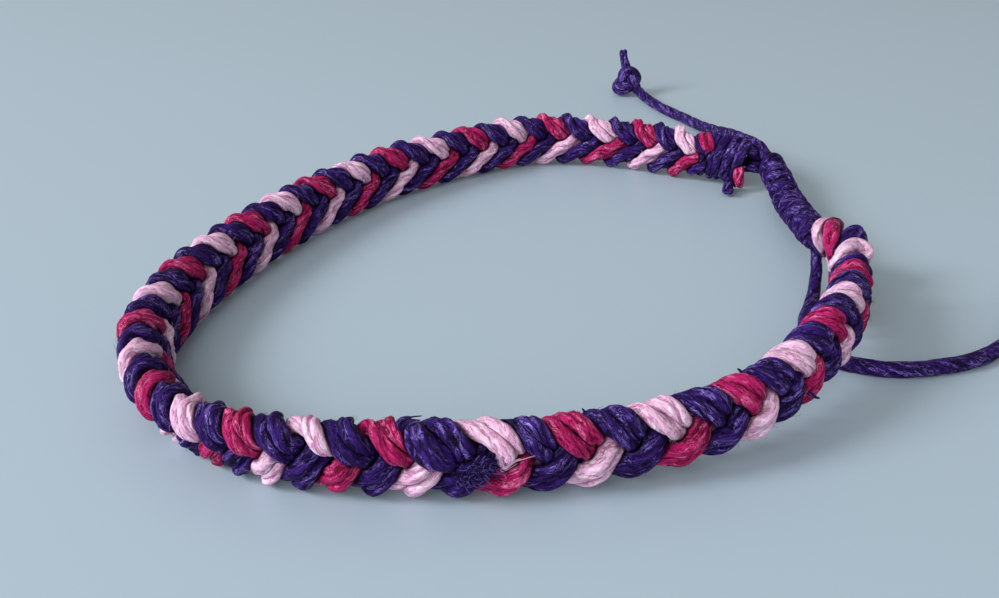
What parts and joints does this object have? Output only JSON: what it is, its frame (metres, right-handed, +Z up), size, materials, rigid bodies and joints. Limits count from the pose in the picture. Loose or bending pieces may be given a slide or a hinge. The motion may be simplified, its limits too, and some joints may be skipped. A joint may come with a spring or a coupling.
{
  "type": "braided cord bracelet",
  "caption": "Braided bracelet of waxed cord in purple, magenta and pink herringbone, lying round on its edge, closed by a wrapped sliding knot with loose knotted tails.",
  "frame": {"origin": "middle of the ring's bounding box, on the surface that the bracelet lies on", "axes": "+Z up from the surface, +Y from the near side of the ring to the far side, the knotted closure at +X"},
  "size_m": [0.0656, 0.0859, 0.0064],
  "materials": {
    "purple_cord": "waxed satin",
    "magenta_cord": "waxed satin",
    "pink_cord": "waxed satin"
  },
  "bodies": {
    "root": {"strand_magenta": "magenta_cord", "strand_purple_a": "purple_cord", "strand_pink": "pink_cord", "strand_purple_b": "purple_cord", "end_wrap": "purple_cord", "cut_end_magenta": "magenta_cord", "cut_end_purple": "purple_cord", "closing_cords": "purple_cord", "closing_loop": "purple_cord", "sliding_knot": "purple_cord", "tail_far": "purple_cord", "tail_near": "purple_cord", "tail_far_knot": "purple_cord", "tail_near_knot": "purple_cord"}
  },
  "joints": []
}
